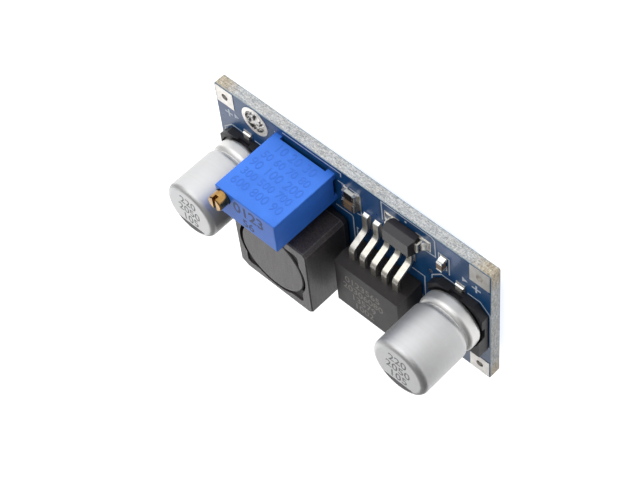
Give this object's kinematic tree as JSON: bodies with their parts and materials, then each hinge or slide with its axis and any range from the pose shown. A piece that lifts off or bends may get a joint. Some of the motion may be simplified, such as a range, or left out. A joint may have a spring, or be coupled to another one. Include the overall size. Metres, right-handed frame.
{
  "type": "boost converter module",
  "caption": "Step-up voltage converter board with aluminium can capacitors, shielded inductor, five-lead regulator and multi-turn trimmer with brass screw.",
  "frame": {"origin": "centre of the board's outline, at the level of the trimmer's pin tips", "axes": "+X along the board from the input end to the output end, +Y across it to the edge with the trimmer, +Z out of the face that carries the parts"},
  "size_m": [0.043, 0.021, 0.014],
  "materials": {
    "solder_mask": "gloss",
    "tinned_land": "satin",
    "solder": "gloss",
    "can_aluminium": "satin",
    "base_plastic": "matte",
    "tinned_lead": "satin",
    "ferrite": "satin",
    "enamelled_wire": "gloss",
    "cement": "matte",
    "moulding_black": "matte",
    "chip_ceramic": "matte",
    "capacitor_ceramic": "satin",
    "glass_coat": "gloss",
    "case_blue": "satin",
    "case_sealant": "matte",
    "screw_brass": "satin",
    "seal_rubber": "matte",
    "wheel_plastic": "matte",
    "track_cermet": "matte"
  },
  "bodies": {
    "board": {"printed_board": "solder_mask", "mounting_hole_linings": "tinned_land", "trimmer_hole_linings": "tinned_land", "surface_lands": "tinned_land", "in_plus_pad": "tinned_land", "in_minus_pad": "tinned_land", "out_plus_pad": "tinned_land", "out_minus_pad": "tinned_land", "input_capacitor_can": "can_aluminium", "input_capacitor_base": "base_plastic", "input_capacitor_leads": "tinned_lead", "output_capacitor_can": "can_aluminium", "output_capacitor_base": "base_plastic", "output_capacitor_leads": "tinned_lead", "capacitor_solder": "solder", "inductor_shield": "ferrite", "inductor_core": "ferrite", "inductor_winding": "enamelled_wire", "inductor_base": "base_plastic", "inductor_clips": "tinned_lead", "inductor_adhesive": "cement", "inductor_solder": "solder", "regulator_body": "moulding_black", "regulator_tab": "tinned_lead", "regulator_leads": "tinned_lead", "regulator_solder": "solder", "diode_body": "moulding_black", "diode_leads": "tinned_lead", "diode_solder": "solder", "feedback_resistor_body": "chip_ceramic", "feedback_resistor_coat": "glass_coat", "feedback_resistor_ends": "solder", "sense_capacitor_body": "capacitor_ceramic", "sense_capacitor_ends": "solder", "bypass_capacitor_body": "capacitor_ceramic", "bypass_capacitor_ends": "solder", "chip_solder": "solder", "trimmer_housing": "case_blue", "trimmer_base": "case_sealant", "trimmer_pins": "tinned_lead", "trimmer_seal": "seal_rubber", "trimmer_clip": "tinned_lead", "trimmer_element": "chip_ceramic", "trimmer_track": "track_cermet", "trimmer_solder": "solder"},
    "screw": {"trimmer_screw": "screw_brass"},
    "wheel": {"trimmer_rotor": "wheel_plastic", "trimmer_wiper": "screw_brass"}
  },
  "joints": [
    {"name": "screw_turn", "type": "hinge", "parent": "board", "child": "screw", "pos_m": [-0.01011, 0.00793, 0.0078], "axis": [0, 0, 1], "range_deg": [-4500, 4500]},
    {"name": "wheel_turn", "type": "hinge", "parent": "board", "child": "wheel", "pos_m": [-0.00639, 0.00793, 0.0078], "axis": [0, 1, 0], "range_deg": [-141, 141]}
  ],
  "couplings": [
    {"joint": "wheel_turn", "follows": "screw_turn", "ratio": -0.03125}
  ]
}
